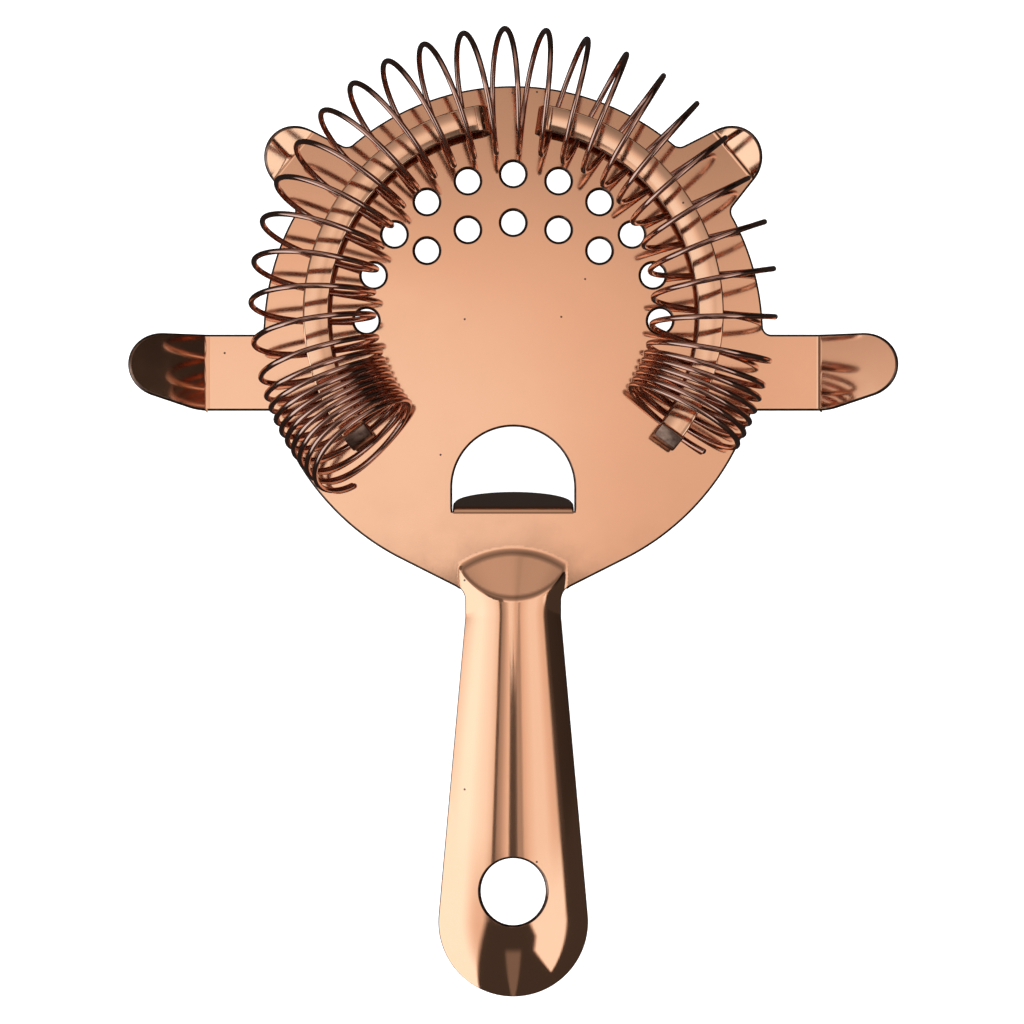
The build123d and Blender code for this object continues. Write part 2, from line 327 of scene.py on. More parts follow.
def arc(cx, cy, radius, start, end, spacing=0.4):
    """Points on an arc from one angle to another, in radians, both ends included."""
    count = max(2, math.ceil(abs(end - start) * radius / spacing))
    angles = [start + (end - start) * i / count for i in range(count + 1)]
    return [(cx + radius * math.cos(a), cy + radius * math.sin(a)) for a in angles]


def straight(start, end, spacing=0.6):
    count = max(1, math.ceil(math.dist(start, end) / spacing))
    return [
        (start[0] + (end[0] - start[0]) * i / count, start[1] + (end[1] - start[1]) * i / count)
        for i in range(count + 1)
    ]


def round_off(before, corner, after, radius):
    """Arc of this radius tangent to the two straight edges that meet at a corner."""
    p = np.array(corner)
    into = np.array(before) - p
    out = np.array(after) - p
    into /= np.linalg.norm(into)
    out /= np.linalg.norm(out)
    half = math.acos(float(np.clip(into @ out, -1, 1))) / 2
    middle = into + out
    middle /= np.linalg.norm(middle)
    centre = p + middle * radius / math.sin(half)
    start = p + into * radius / math.tan(half) - centre
    end = p + out * radius / math.tan(half) - centre
    a0 = math.atan2(start[1], start[0])
    a1 = math.atan2(end[1], end[0])
    turn = (a1 - a0 + math.pi) % (2 * math.pi) - math.pi
    return arc(centre[0], centre[1], radius, a0, a0 + turn, spacing=0.15)


def meet_circle(point, direction, radius):
    """Where a line first comes within this distance of the origin."""
    p = np.array(point)
    d = np.array(direction) / np.linalg.norm(direction)
    b = float(p @ d)
    gap = float(p @ p) - radius**2
    return tuple(p + d * (-b - math.sqrt(b * b - gap)))


def tidy_loop(points, least=0.05):
    """Drops points that lie almost on the one before them."""
    kept = [points[0]]
    for p in points[1:]:
        if math.dist(p, kept[-1]) > least:
            kept.append(p)
    if math.dist(kept[0], kept[-1]) <= least:
        kept.pop()
    return np.array(kept)


def unfold(reach, bend):
    """Distance in the flat pattern of an edge point that is this far out once the tip is bent."""
    radius = TIP_BEND_R + SHEET / 2
    run = reach - bend
    if run <= 0:
        return reach
    in_bend = radius * math.sin(TIP_TILT)
    if run < in_bend:
        return bend + radius * math.asin(run / radius)
    return bend + radius * TIP_TILT + (run - in_bend) / math.cos(TIP_TILT)


def upper_prong():
    """Edge of the right upper prong, and the angle between its middle and its root on the disc."""
    reach = UPPER_TIP_X
    touch = (reach + UPPER_TIP_R * math.sin(UPPER_FLARE), UPPER_TIP_R * math.cos(UPPER_FLARE))
    root = meet_circle(touch, (-math.cos(UPPER_FLARE), math.sin(UPPER_FLARE)), DISC_R)
    root_angle = math.atan2(root[1], root[0]) + 1.3 * UPPER_FILLET / DISC_R
    beside = (DISC_R * math.cos(root_angle), DISC_R * math.sin(root_angle))
    prong = round_off(
        (beside[0], -beside[1]), (root[0], -root[1]), (touch[0], -touch[1]), UPPER_FILLET)
    prong += straight(prong[-1], (touch[0], -touch[1]))
    prong += arc(reach, 0, UPPER_TIP_R, UPPER_FLARE - math.pi / 2, math.pi / 2 - UPPER_FLARE)
    far_side = round_off(touch, root, beside, UPPER_FILLET)
    prong += straight(prong[-1], far_side[0]) + far_side
    prong = [(unfold(x, UPPER_BEND), y) for x, y in prong]
    ca = math.cos(UPPER_ANGLE)
    sa = math.sin(UPPER_ANGLE)
    return [(x * ca - y * sa, x * sa + y * ca) for x, y in prong], root_angle


def right_outline():
    """Right half of the outline, from the handle's end to the front of the disc."""
    lean = math.atan2(END_HALF - NECK_HALF, NECK_Y - END_Y)
    points = arc(0, END_Y, END_HALF, -math.pi / 2, lean)
    neck = (NECK_HALF, NECK_Y)
    points += straight(points[-1], neck)

    shoulder = math.radians(SHOULDER_ANGLE)
    leave = (DISC_R * math.sin(shoulder), -DISC_R * math.cos(shoulder))
    corner = (NECK_HALF, leave[1] - (leave[0] - NECK_HALF) * math.tan(shoulder))
    points += round_off(neck, corner, leave, SHOULDER_FILLET)
    points += straight(points[-1], leave)

    low_root = (math.sqrt(DISC_R**2 - SIDE_LOW_Y**2), SIDE_LOW_Y)
    top_root = (math.sqrt(DISC_R**2 - SIDE_TOP_Y**2), SIDE_TOP_Y)
    taper = (SIDE_TAPER_X, SIDE_LOW_Y)
    tip = (SIDE_TIP_X, SIDE_TOP_Y - SIDE_TIP_R)
    aim = math.atan2(tip[1] - taper[1], tip[0] - taper[0])
    aim -= math.asin(SIDE_TIP_R / math.dist(tip, taper))
    touch = (tip[0] + SIDE_TIP_R * math.sin(aim), tip[1] - SIDE_TIP_R * math.cos(aim))
    low_angle = math.atan2(low_root[1], low_root[0])
    gap = 1.2 * CREASE_FILLET / DISC_R
    points += arc(0, 0, DISC_R, shoulder - math.pi / 2, low_angle - gap)
    points += round_off(points[-1], low_root, taper, CREASE_FILLET)
    points += straight(points[-1], (taper[0] - 1.0, taper[1]))
    points += round_off(low_root, taper, touch, SIDE_TAPER_FILLET)
    points += straight(points[-1], touch)
    points += arc(tip[0], tip[1], SIDE_TIP_R, aim - math.pi / 2, math.pi / 2)
    points += straight(points[-1], (top_root[0] + 2 * SIDE_FILLET, SIDE_TOP_Y))
    points = [(unfold(x, SIDE_BEND_X), y) for x, y in points]
    top_angle = math.atan2(SIDE_TOP_Y, top_root[0])
    gap = 1.3 * SIDE_FILLET / DISC_R
    points += round_off(points[-1], top_root, arc(0, 0, DISC_R, top_angle, 0.1)[1], SIDE_FILLET)

    prong, half_angle = upper_prong()
    points += arc(0, 0, DISC_R, top_angle + gap, UPPER_ANGLE - half_angle)
    points += prong
    points += arc(0, 0, DISC_R, UPPER_ANGLE + half_angle, math.pi / 2)
    return points


def kerf_loop():
    """The thin cut round the finger tab, open at the fold."""
    outer = FINGER_R
    inner = FINGER_R - TAB_KERF
    rise = FINGER_ARC_Y
    base = FINGER_FOLD_Y + KERF_CLEAR
    points = straight((outer, base), (outer, rise)) + arc(0, rise, outer, 0, math.pi)
    points += straight((-outer, rise), (-outer, base)) + straight((-inner, base), (-inner, rise))
    points += arc(0, rise, inner, math.pi, 0) + straight((inner, rise), (inner, base))
    return tidy_loop(points)


def plate_loops():
    """Every edge of the flat pattern, anticlockwise, with its side and its rounding."""
    right = right_outline()
    left = [(-x, y) for x, y in reversed(right)]
    loops = [(tidy_loop(right + left), -1.0, EDGE_R)]
    for step in range(-FIRST_ROW_EACH_SIDE, FIRST_ROW_EACH_SIDE + 1):
        x = HOLE_ARC_R * math.sin(step * HOLE_STEP)
        y = HOLE_ARC_Y + HOLE_ARC_R * math.cos(step * HOLE_STEP)
        rows = (y, y - HOLE_ROW_DROP) if abs(step) <= SECOND_ROW_EACH_SIDE else (y,)
        for row in rows:
            loop = arc(x, row, HOLE_R, 0, 2 * math.pi, spacing=0.25)
            loops.append((tidy_loop(loop), 1.0, HOLE_EDGE_R))
    hang = arc(0, HANG_HOLE_Y, HANG_HOLE_R, 0, 2 * math.pi)
    loops.append((tidy_loop(hang), 1.0, EDGE_R))
    loops.append((kerf_loop(), 1.0, EDGE_R))
    return loops


def outward(points):
    """Unit direction to the right of a loop's travel at each point."""
    ahead = np.roll(points, -1, axis=0) - points
    ahead /= np.linalg.norm(ahead, axis=1)[:, None]
    travel = ahead + np.roll(ahead, 1, axis=0)
    size = np.linalg.norm(travel, axis=1)
    travel[size < 0.2] = ahead[size < 0.2]
    travel /= np.linalg.norm(travel, axis=1)[:, None]
    return np.stack([travel[:, 1], -travel[:, 0]], axis=1)


# --- plate: mesh -----------------------------------------------------------------------------

def grid(x0, x1, y0, y1, spacing):
    """Points on a triangular grid."""
    rows = []
    row_step = spacing * math.sqrt(3) / 2
    for j in range(int((y1 - y0) / row_step) + 1):
        shift = spacing / 2 if j % 2 else 0.0
        for i in range(int((x1 - x0) / spacing) + 1):
            rows.append((x0 + shift + i * spacing, y0 + j * row_step))
    return rows


def inner_points(rings):
    """Points inside the sheet, close together only where it is curved."""
    allowance = (TIP_BEND_R + SHEET / 2) * TIP_TILT
    tab_arc = (TAB_BEND_R + SHEET / 2) * TAB_FOLD
    fine = grid(-10.5, 10.5, -46.0, -31.6, NECK_SPACING)
    fine += grid(-14.0, 14.0, -107.0, -46.0, HANDLE_SPACING)
    fine += [p for p in grid(-14.0, 14.0, -46.0, -33.4, HANDLE_SPACING) if abs(p[0]) > 10.6]
    rows = []
    for k in range(9):
        rows += [(BEND_SPACING * i, FINGER_FOLD_Y + tab_arc * k / 8) for i in range(-19, 20)]
    for k in range(7):
        out = allowance * k / 6
        for side in (-1, 1):
            rows += [(side * (SIDE_BEND_X + out), SIDE_LOW_Y + BEND_SPACING * i) for i in range(25)]
            for i in range(-11, 12):
                u = UPPER_BEND + out
                v = BEND_SPACING * i
                x = u * math.cos(UPPER_ANGLE) - v * math.sin(UPPER_ANGLE)
                y = u * math.sin(UPPER_ANGLE) + v * math.cos(UPPER_ANGLE)
                rows.append((side * x, y))
    coarse = grid(-64.0, 64.0, -33.0, 42.0, DISC_SPACING)
    coarse = [p for p in coarse if abs(p[0]) > 11.5 or p[1] > -31.0]
    edge = np.concatenate(rings)
    tree = kdtree.KDTree(len(edge) + len(rows))
    for i, p in enumerate(edge):
        tree.insert((p[0], p[1], 0), i)
    for i, p in enumerate(rows):
        tree.insert((p[0], p[1], 0), len(edge) + i)
    tree.balance()
    kept = []
    for points, clear in ((fine, 0.3), (coarse, 1.0)):
        kept += [p for p in points if tree.find((p[0], p[1], 0))[2] > clear]
    edge_tree = kdtree.KDTree(len(edge))
    for i, p in enumerate(edge):
        edge_tree.insert((p[0], p[1], 0), i)
    edge_tree.balance()
    kept += [p for p in rows if edge_tree.find((p[0], p[1], 0))[2] > 0.12]
    return [p for p in kept if inside(np.array([p]), rings[0])[0]]


def inside(points, loop):
    """Even-odd test of points against a closed loop."""
    x = points[:, 0][:, None]
    y = points[:, 1][:, None]
    x0, y0 = loop[:, 0], loop[:, 1]
    x1, y1 = np.roll(x0, -1), np.roll(y0, -1)
    crosses = (y0 > y) != (y1 > y)
    rise = np.where(y1 == y0, 1.0, y1 - y0)
    at = x0 + (y - y0) * (x1 - x0) / rise
    return np.sum(crosses & (x < at), axis=1) % 2 == 1


def triangulate(rings):
    """Triangles of the flat pattern between its inner rings."""
    points = []
    edges = []
    for ring in rings:
        first = len(points)
        points += [tuple(p) for p in ring]
        count = len(ring)
        edges += [(first + i, first + (i + 1) % count) for i in range(count)]
    points += inner_points(rings)
    out = delaunay_2d_cdt(points, edges, [], 0, 1e-6)
    flat = np.array([tuple(v) for v in out[0]])
    index = {}
    for new, olds in enumerate(out[3]):
        for old in olds:
            index[old] = new
    faces = np.array([f for f in out[2] if len(f) == 3])
    middle = flat[faces].mean(axis=1)
    keep = inside(middle, rings[0])
    for ring in rings[1:]:
        keep &= ~inside(middle, ring)
    return flat, faces[keep], index


def plate_mesh(name):
    loops = plate_loops()
    directions = [side * outward(points) * -1.0 for points, side, radius in loops]
    rings = [
        points - direction * radius
        for (points, side, radius), direction in zip(loops, directions)
    ]
    flat, triangles, index = triangulate(rings)
    mid, normal = plate_surface(flat)
    count = len(flat)
    points = [mid + normal * SHEET / 2, mid - normal * SHEET / 2]
    normals = [normal, -normal]
    area = np.cross(flat[triangles[:, 1]] - flat[triangles[:, 0]],
                    flat[triangles[:, 2]] - flat[triangles[:, 0]])
    up = np.where(area[:, None] > 0, triangles, triangles[:, ::-1])
    faces = [tuple(f) for f in up.tolist()]
    faces += [tuple(count + i for i in reversed(f)) for f in up.tolist()]
    on_faces = len(faces)
    total = 2 * count
    start = 0
    for (loop, side, radius), direction in zip(loops, directions):
        size = len(loop)
        first = [index[start + i] for i in range(size)]
        start += size
        last = [count + i for i in first]
        profile = [(math.radians(a), radius * i, radius * d) for a, i, d in EDGE_PROFILE]
        profile += [(math.pi - a, inset, SHEET - depth) for a, inset, depth in reversed(profile)]
        previous = first
        for angle, inset, depth in profile:
            at = loop - direction * inset
            ring_mid, ring_normal = plate_surface(at)
            ahead = plate_surface(at + direction * 0.01)[0] - ring_mid
            ahead /= np.linalg.norm(ahead, axis=1)[:, None]
            points.append(ring_mid + ring_normal * (SHEET / 2 - depth))
            normals.append(ring_normal * math.cos(angle) + ahead * math.sin(angle))
            current = list(range(total, total + size))
            total += size
            for i in range(size):
                j = (i + 1) % size
                quad = (previous[i], current[i], current[j], previous[j])
                faces.append(quad if side < 0 else tuple(reversed(quad)))
            previous = current
        for i in range(size):
            j = (i + 1) % size
            quad = (previous[i], last[i], last[j], previous[j])
            faces.append(quad if side < 0 else tuple(reversed(quad)))
    # The rounded cut edges take the dark edge material, whose darkness is partly painted shade.
    edge_faces = [0] * on_faces + [1] * (len(faces) - on_faces)
    return make_mesh(name, np.concatenate(points), faces, np.concatenate(normals), edge_faces)


# --- swept pieces ----------------------------------------------------------------------------

def sweep(name, rings, edge_sides=()):
    """Skin over a list of rings with the same number of points. Some sides can be cut edges or
    shaded sides, given the dark edge material, which is partly painted shade.
    """
    size = len(rings[0])
    faces = []
    edge_faces = []
    for k in range(len(rings) - 1):
        for i in range(size):
            j = (i + 1) % size
            faces.append((k * size + i, k * size + j, (k + 1) * size + j, (k + 1) * size + i))
            edge_faces.append(int(i in edge_sides))
    faces.append(tuple(reversed(range(size))))
    last = (len(rings) - 1) * size
    faces.append(tuple(range(last, last + size)))
    edge_faces += [0, 0]
    return make_mesh(name, np.concatenate(rings), faces, edge_faces=edge_faces)


def strip_section(width, thick, corner, segments=5):
    """Rounded rectangle, as offsets across and up."""
    section = []
    for quarter in range(4):
        cx = (width / 2 - corner) * (1 if quarter in (0, 3) else -1)
        cy = (thick / 2 - corner) * (1 if quarter in (0, 1) else -1)
        for k in range(segments):
            a = math.pi / 2 * (quarter + k / (segments - 1))
            section.append((cx + corner * math.cos(a), cy + corner * math.sin(a)))
    return np.array(section)


def rail_axes(angle):
    """Place on the rail's circle, the way out from it and the way along it."""
    centre = np.array([RAIL_R * math.sin(angle), RAIL_Y + RAIL_R * math.cos(angle), 0.0])
    across = np.array([math.sin(angle), math.cos(angle), 0.0])
    ahead = np.array([math.cos(angle), -math.sin(angle), 0.0])
    return centre, across, ahead


def rail_stations():
    """Right rail, from its foot to the tail of its hook: place, across, normal and travel."""
    up = np.array([0.0, 0.0, 1.0])
    stations = []
    centre, across, ahead = rail_axes(RAIL_TOP_ANGLE)
    bend = centre + up * (RAIL_Z - FOOT_BEND_R)
    foot = bend - ahead * (FOOT_BEND_R + RAIL_T / 2)
    for height in FOOT_HEIGHTS:
        at = foot * np.array([1, 1, 0]) + up * height
        stations.append((at, across, -ahead, up))
    for k in range(BEND_STEPS + 1):
        a = math.pi / 2 * (1 - k / BEND_STEPS)
        normal = -ahead * math.sin(a) + up * math.cos(a)
        travel = ahead * math.cos(a) + up * math.sin(a)
        stations.append((bend + normal * (FOOT_BEND_R + RAIL_T / 2), across, normal, travel))
    for k in range(1, RAIL_STEPS):
        a = RAIL_TOP_ANGLE + (RAIL_LOW_ANGLE - RAIL_TOP_ANGLE) * k / RAIL_STEPS
        at, across, ahead = rail_axes(a)
        stations.append((at + up * (RAIL_Z + RAIL_T / 2), across, up, ahead))
    centre, across, ahead = rail_axes(RAIL_LOW_ANGLE)
    curl = centre + up * (RAIL_Z + RAIL_T + HOOK_BEND_R)
    for k in range(CURL_STEPS + 1):
        a = HOOK_CURL * k / CURL_STEPS
        normal = -ahead * math.sin(a) + up * math.cos(a)
        travel = ahead * math.cos(a) + up * math.sin(a)
        stations.append((curl - normal * (HOOK_BEND_R + RAIL_T / 2), across, normal, travel))
    at, across, normal, travel = stations[-1]
    for run in (0.5, 1.0, HOOK_TAIL - RAIL_EDGE_R):
        stations.append((at + travel * run, across, normal, travel))
    return stations


def rail_mesh(name, side):
    stations = rail_stations()
    section = strip_section(RAIL_W, RAIL_T, RAIL_EDGE_R)
    tilt = np.array([[math.cos(RAIL_LEAN), math.sin(RAIL_LEAN)],
                     [-math.sin(RAIL_LEAN), math.cos(RAIL_LEAN)]])
    section = section @ tilt
    rings = []
    for k, (at, across, normal, travel) in enumerate(stations):
        grow = FOOT_FLARE[k] if k < len(FOOT_FLARE) else 0.0
        wide = section + np.sign(section) * grow
        rings.append(at + wide[:, :1] * across + wide[:, 1:] * normal)
    at, across, normal, travel = stations[-1]
    for k in range(1, TAIL_END_STEPS + 1):
        a = math.pi / 2 * k / TAIL_END_STEPS
        shrink = RAIL_EDGE_R * (1 - math.cos(a))
        small = section - np.sign(section) * np.minimum(np.abs(section), shrink)
        ahead_by = RAIL_EDGE_R * math.sin(a)
        rings.append(at + travel * ahead_by + small[:, :1] * across + small[:, 1:] * normal)
    rings = [ring * np.array([side, 1, 1]) for ring in rings]
    # Every side but the top takes the dark edge material: the sheared sides, and the underside as
    # painted shade for the gap under the rail.
    middle = (section + np.roll(section, -1, axis=0)) / 2
    top = middle[:, 1] > RAIL_T / 2 - 0.12
    cut = {i for i in range(len(section)) if not top[i]}
    if side < 0:
        rings = [ring[::-1] for ring in rings]
        cut = {(len(section) - 2 - i) % len(section) for i in cut}
    return sweep(name, rings, cut)


def coil_route(turns):
    """Centre line of the wire at each turn count."""
    total = LEFT_CLOSED + OPEN_TURNS + RIGHT_CLOSED
    fine = np.linspace(0.0, total, int(total * 200) + 1)
    past_left = fine - LEFT_CLOSED
    opened = smooth(past_left / PITCH_CHANGE) * smooth((OPEN_TURNS - past_left) / PITCH_CHANGE)
    spread = (OPEN_PITCH_RIGHT - OPEN_PITCH_LEFT) * past_left / OPEN_TURNS
    pitch = CLOSED_PITCH + (OPEN_PITCH_LEFT + spread - CLOSED_PITCH) * opened
    angle = COIL_START + np.concatenate([[0.0], np.cumsum((pitch[1:] + pitch[:-1]) / 2)]) * (
        fine[1] - fine[0])
    degrees = np.interp(turns, fine, angle)
    phase = np.radians(FIRST_PHASE) + 2 * math.pi * turns
    lean = LEAN_LEFT + (LEAN_RIGHT - LEAN_LEFT) * smooth(
        (degrees - LEAN_FROM) / (LEAN_TO - LEAN_FROM))
    lean = lean + END_LEAN_LEFT * smooth((LEFT_CLOSED - turns) / LEFT_CLOSED)
    lean = lean + END_LEAN_RIGHT * smooth((turns - LEFT_CLOSED - OPEN_TURNS) / RIGHT_CLOSED)
    a = np.radians(degrees) + lean * np.sin(phase) / RAIL_R
    push = COIL_PUSH * (1.0 - smooth((np.abs(degrees) - PUSH_FULL) / (PUSH_NONE - PUSH_FULL)))
    out = np.stack([np.sin(a), np.cos(a), np.zeros_like(a)], axis=1)
    hub = RAIL_R * out + np.stack([0 * a, RAIL_Y + push, COIL_Z + 0 * a], axis=1)
    arm = np.cos(phase)[:, None] * out + np.sin(phase)[:, None] * np.array([0, 0, 1.0])
    return hub + COIL_R * arm, arm


def coil_mesh(name):
    total = LEFT_CLOSED + OPEN_TURNS + RIGHT_CLOSED
    turns = np.linspace(0.0, total, int(total * COIL_STEPS) + 1)
    line, arm = coil_route(turns)
    travel = np.gradient(line, axis=0)
    travel /= np.linalg.norm(travel, axis=1)[:, None]
    first = arm - travel * np.sum(arm * travel, axis=1)[:, None]
    first /= np.linalg.norm(first, axis=1)[:, None]
    second = np.cross(travel, first)
    rings = []

    def ring(k, radius, shift):
        a = 2 * math.pi * np.arange(COIL_SIDES) / COIL_SIDES
        around = np.cos(a)[:, None] * first[k] + np.sin(a)[:, None] * second[k]
        return line[k] + travel[k] * shift + around * radius

    for k in range(WIRE_END_STEPS):
        a = math.pi / 2 * (1 - k / WIRE_END_STEPS)
        rings.append(ring(0, WIRE_R - WIRE_END_R * (1 - math.cos(a)), -WIRE_END_R * math.sin(a)))
    for k in range(len(line)):
        rings.append(ring(k, WIRE_R, 0.0))
    last = len(line) - 1
    for k in range(1, WIRE_END_STEPS + 1):
        a = math.pi / 2 * k / WIRE_END_STEPS
        rings.append(ring(last, WIRE_R - WIRE_END_R * (1 - math.cos(a)), WIRE_END_R * math.sin(a)))
    return sweep(name, rings)


# --- finish ----------------------------------------------------------------------------------

class Nodes:
    """Short names for adding and joining shader nodes."""

    def __init__(self, tree):
        self.tree = tree

    def add(self, kind, **settings):
        node = self.tree.nodes.new(kind)
        for key, value in settings.items():
            setattr(node, key, value)
        return node

    def join(self, source, target):
        self.tree.links.new(source, target)

    def math(self, operation, a, b=None, c=None):
        node = self.add("ShaderNodeMath", operation=operation)
        for i, value in enumerate((a, b, c)):
            if value is None:
                continue
            if isinstance(value, (int, float)):
                node.inputs[i].default_value = value
            else:
                self.join(value, node.inputs[i])
        return node.outputs[0]

    def noise(self, scale, detail, vector, rough=0.5):
        node = self.add("ShaderNodeTexNoise")
        node.inputs["Scale"].default_value = scale
        node.inputs["Detail"].default_value = detail
        node.inputs["Roughness"].default_value = rough
        self.join(vector, node.inputs["Vector"])
        return node.outputs[0]

    def edge(self, value, start, end):
        """0 before start and 1 after end, smooth between them."""
        node = self.add("ShaderNodeMapRange", interpolation_type="SMOOTHSTEP")
        node.inputs["From Min"].default_value = start
        node.inputs["From Max"].default_value = end
        self.join(value, node.inputs["Value"])
        return node.outputs[0]

    def mix(self, factor, a, b):
        node = self.add("ShaderNodeMix", data_type="FLOAT")
        self.join(factor, node.inputs["Factor"])
        for name, value in (("A", a), ("B", b)):
            if isinstance(value, (int, float)):
                node.inputs[name].default_value = value
            else:
                self.join(value, node.inputs[name])
        return node.outputs["Result"]

    def strip(self, place, table):
        """Brightness by angle. The ramp holds half of it, as a ramp stops at 1."""
        stops = [(0.5 + degrees / 180.0, (level / 2,) * 3) for degrees, level in table]
        return self.math("MULTIPLY", self.ramp(place, stops), 2.0)

    def ramp(self, value, stops):
        node = self.add("ShaderNodeValToRGB")
        ramp = node.color_ramp
        while len(ramp.elements) < len(stops):
            ramp.elements.new(0.5)
        for element, (place, colour) in zip(ramp.elements, stops):
            element.position = place
            element.color = (*colour, 1.0) if len(colour) == 3 else colour
        self.join(value, node.inputs[0])
        return node.outputs[0]


def dust_specks(n, place):
    """1 inside a few small dots and 0 elsewhere."""
    cells = n.add("ShaderNodeTexVoronoi", feature="F1", voronoi_dimensions="2D")
    cells.inputs["Scale"].default_value = 260.0
    n.join(place, cells.inputs["Vector"])
    chance = n.add("ShaderNodeSeparateColor")
    n.join(cells.outputs["Color"], chance.inputs[0])
    chosen = n.math("GREATER_THAN", chance.outputs[0], 0.965)
    near = n.math("LESS_THAN", cells.outputs["Distance"], 0.045)
    return n.math("MULTIPLY", chosen, near)


def uneven_surface(n, place, wave):
    """Normal of a sheet that isn't quite even, with hairline scratches."""
    stretch = n.add("ShaderNodeMapping")
    stretch.inputs["Scale"].default_value = (9000.0, 350.0, 900.0)
    stretch.inputs["Rotation"].default_value = (0.0, 0.0, 0.35)
    n.join(place, stretch.inputs["Vector"])
    scratch = n.add("ShaderNodeBump")
    scratch.inputs["Strength"].default_value = 0.05
    scratch.inputs["Distance"].default_value = 0.00002
    n.join(n.noise(1.0, 2.0, stretch.outputs[0], 0.6), scratch.inputs["Height"])
    sheet = n.add("ShaderNodeBump")
    sheet.inputs["Strength"].default_value = 1.0
    sheet.inputs["Distance"].default_value = wave
    n.join(n.noise(32.0, 1.0, place, 0.4), sheet.inputs["Height"])
    n.join(scratch.outputs[0], sheet.inputs["Normal"])
    return sheet.outputs[0]


def copper(name, bright, deep, rough_low, rough_high, wave):
    """Polished copper plating: faint clouding, hairline scratches, dust specks, uneven sheet."""
    material = bpy.data.materials.new(name)
    material.use_nodes = True
    n = Nodes(material.node_tree)
    shader = material.node_tree.nodes["Principled BSDF"]
    shader.inputs["Metallic"].default_value = 1.0
    place = n.add("ShaderNodeTexCoord").outputs["Object"]

    speck = dust_specks(n, place)
    mix = n.add("ShaderNodeMix", data_type="RGBA")
    n.join(speck, mix.inputs["Factor"])
    n.join(n.ramp(n.noise(45.0, 4.0, place, 0.55), [(0.3, deep), (0.7, bright)]), mix.inputs["A"])
    mix.inputs["B"].default_value = (0.30, 0.17, 0.12, 1.0)
    n.join(mix.outputs["Result"], shader.inputs["Base Color"])

    spread = n.add("ShaderNodeMapRange")
    spread.inputs["From Min"].default_value = 0.35
    spread.inputs["From Max"].default_value = 0.7
    spread.inputs["To Min"].default_value = rough_low
    spread.inputs["To Max"].default_value = rough_high
    n.join(n.noise(120.0, 5.0, place, 0.6), spread.inputs["Value"])
    rough = n.math("MAXIMUM", spread.outputs["Result"], n.math("MULTIPLY", speck, 0.5))
    n.join(rough, shader.inputs["Roughness"])
    n.join(uneven_surface(n, place, wave), shader.inputs["Normal"])
    return material


def sheared_edge_and_painted_shade():
    """Cut edge of the strip and sheet, and the strip's underside: plated like the rest, but duller,
    and darker partly as the cut edge's own tone and partly as painted shade for the dark outlines
    and the shaded gap under the rails.
    """
    material = bpy.data.materials.new("sheared_edge_and_painted_shade")
    material.use_nodes = True
    n = Nodes(material.node_tree)
    shader = material.node_tree.nodes["Principled BSDF"]
    shader.inputs["Metallic"].default_value = 1.0
    place = n.add("ShaderNodeTexCoord").outputs["Object"]
    # The dark base colour is partly painted shade.
    grain = n.noise(900.0, 3.0, place, 0.6)
    n.join(n.ramp(grain, [(0.3, (0.16, 0.075, 0.05)), (0.7, (0.42, 0.22, 0.15))]),
           shader.inputs["Base Color"])
    shader.inputs["Roughness"].default_value = 0.32
    return material


# --- studio ----------------------------------------------------------------------------------

# Brightness against angle from straight up, in degrees: left to right, or back to front
HANDLE_BANDS = [
    (-88, 0.5), (-80, 1.0), (-60, 1.22), (-50, 1.23), (-40, 1.13), (-30, 1.05), (-24, 0.95),
    (-22, 0.85), (-21.2, 0.13), (-18.6, 0.13), (-17.6, 0.36), (-13, 0.53), (-10, 0.7), (-6, 0.9),
    (-4.8, 0.75), (-4, 0.2), (-2.6, 0.1), (1.5, 0.1), (3.8, 0.17), (5, 0.43), (10, 0.43),
    (11.4, 0.76), (15, 0.86), (25, 0.97), (35, 0.97), (41, 0.88), (48, 0.8), (51, 0.1),
    (57, 0.04), (88, 0.03)]
DISC_BANDS = [
    (-88, 0.15), (-75, 0.45), (-50, 0.76), (-25, 1.0), (-8, 0.98), (-3, 0.98), (0, 0.94),
    (2, 0.87), (3.5, 0.79), (5, 0.75), (6.5, 0.85), (20, 0.9), (44, 0.8), (47, 0.3),
    (49.5, 0.035), (88, 0.03)]
TOWARD_FRONT = [
    (-89, 1.0), (2.5, 1.0), (5, 0.94), (6.5, 0.8), (8, 0.62), (10, 0.48), (15, 0.33), (25, 0.2),
    (35, 0.36), (41, 0.58), (52, 0.56), (66, 0.33), (80, 0.06), (89, 0.04)]


def overhead(n, px, py, across, along):
    """Bands of light overhead: one set for the disc and prongs, and one for the handle."""
    disc_part = n.math("MULTIPLY", n.strip(across, DISC_BANDS), n.strip(along, TOWARD_FRONT))
    seam = n.math("MULTIPLY", n.edge(px, -0.22, -0.28), n.edge(px, -0.85, -0.65))
    seam = n.math("MULTIPLY", seam, n.edge(py, 0.4, 0.2))
    disc_part = n.mix(seam, disc_part, 0.15)

    # The handle's part starts just behind straight up, and further forward at the sides
    apart = n.math("ABSOLUTE", px)
    sideways = n.math("MAXIMUM", n.math("SUBTRACT", apart, 0.05), 0.0)
    sideways = n.math("MINIMUM", sideways, 0.15)
    border = n.math("MULTIPLY_ADD", sideways, -0.33, py)
    flank = n.math("MAXIMUM", n.math("SUBTRACT", apart, 0.5), 0.0)
    border = n.math("MULTIPLY_ADD", flank, -0.05, border)
    border = n.math("MULTIPLY_ADD", n.edge(apart, 0.024, 0.010), -0.010, border)
    return n.mix(n.edge(border, -0.026, -0.034), disc_part, n.strip(across, HANDLE_BANDS))


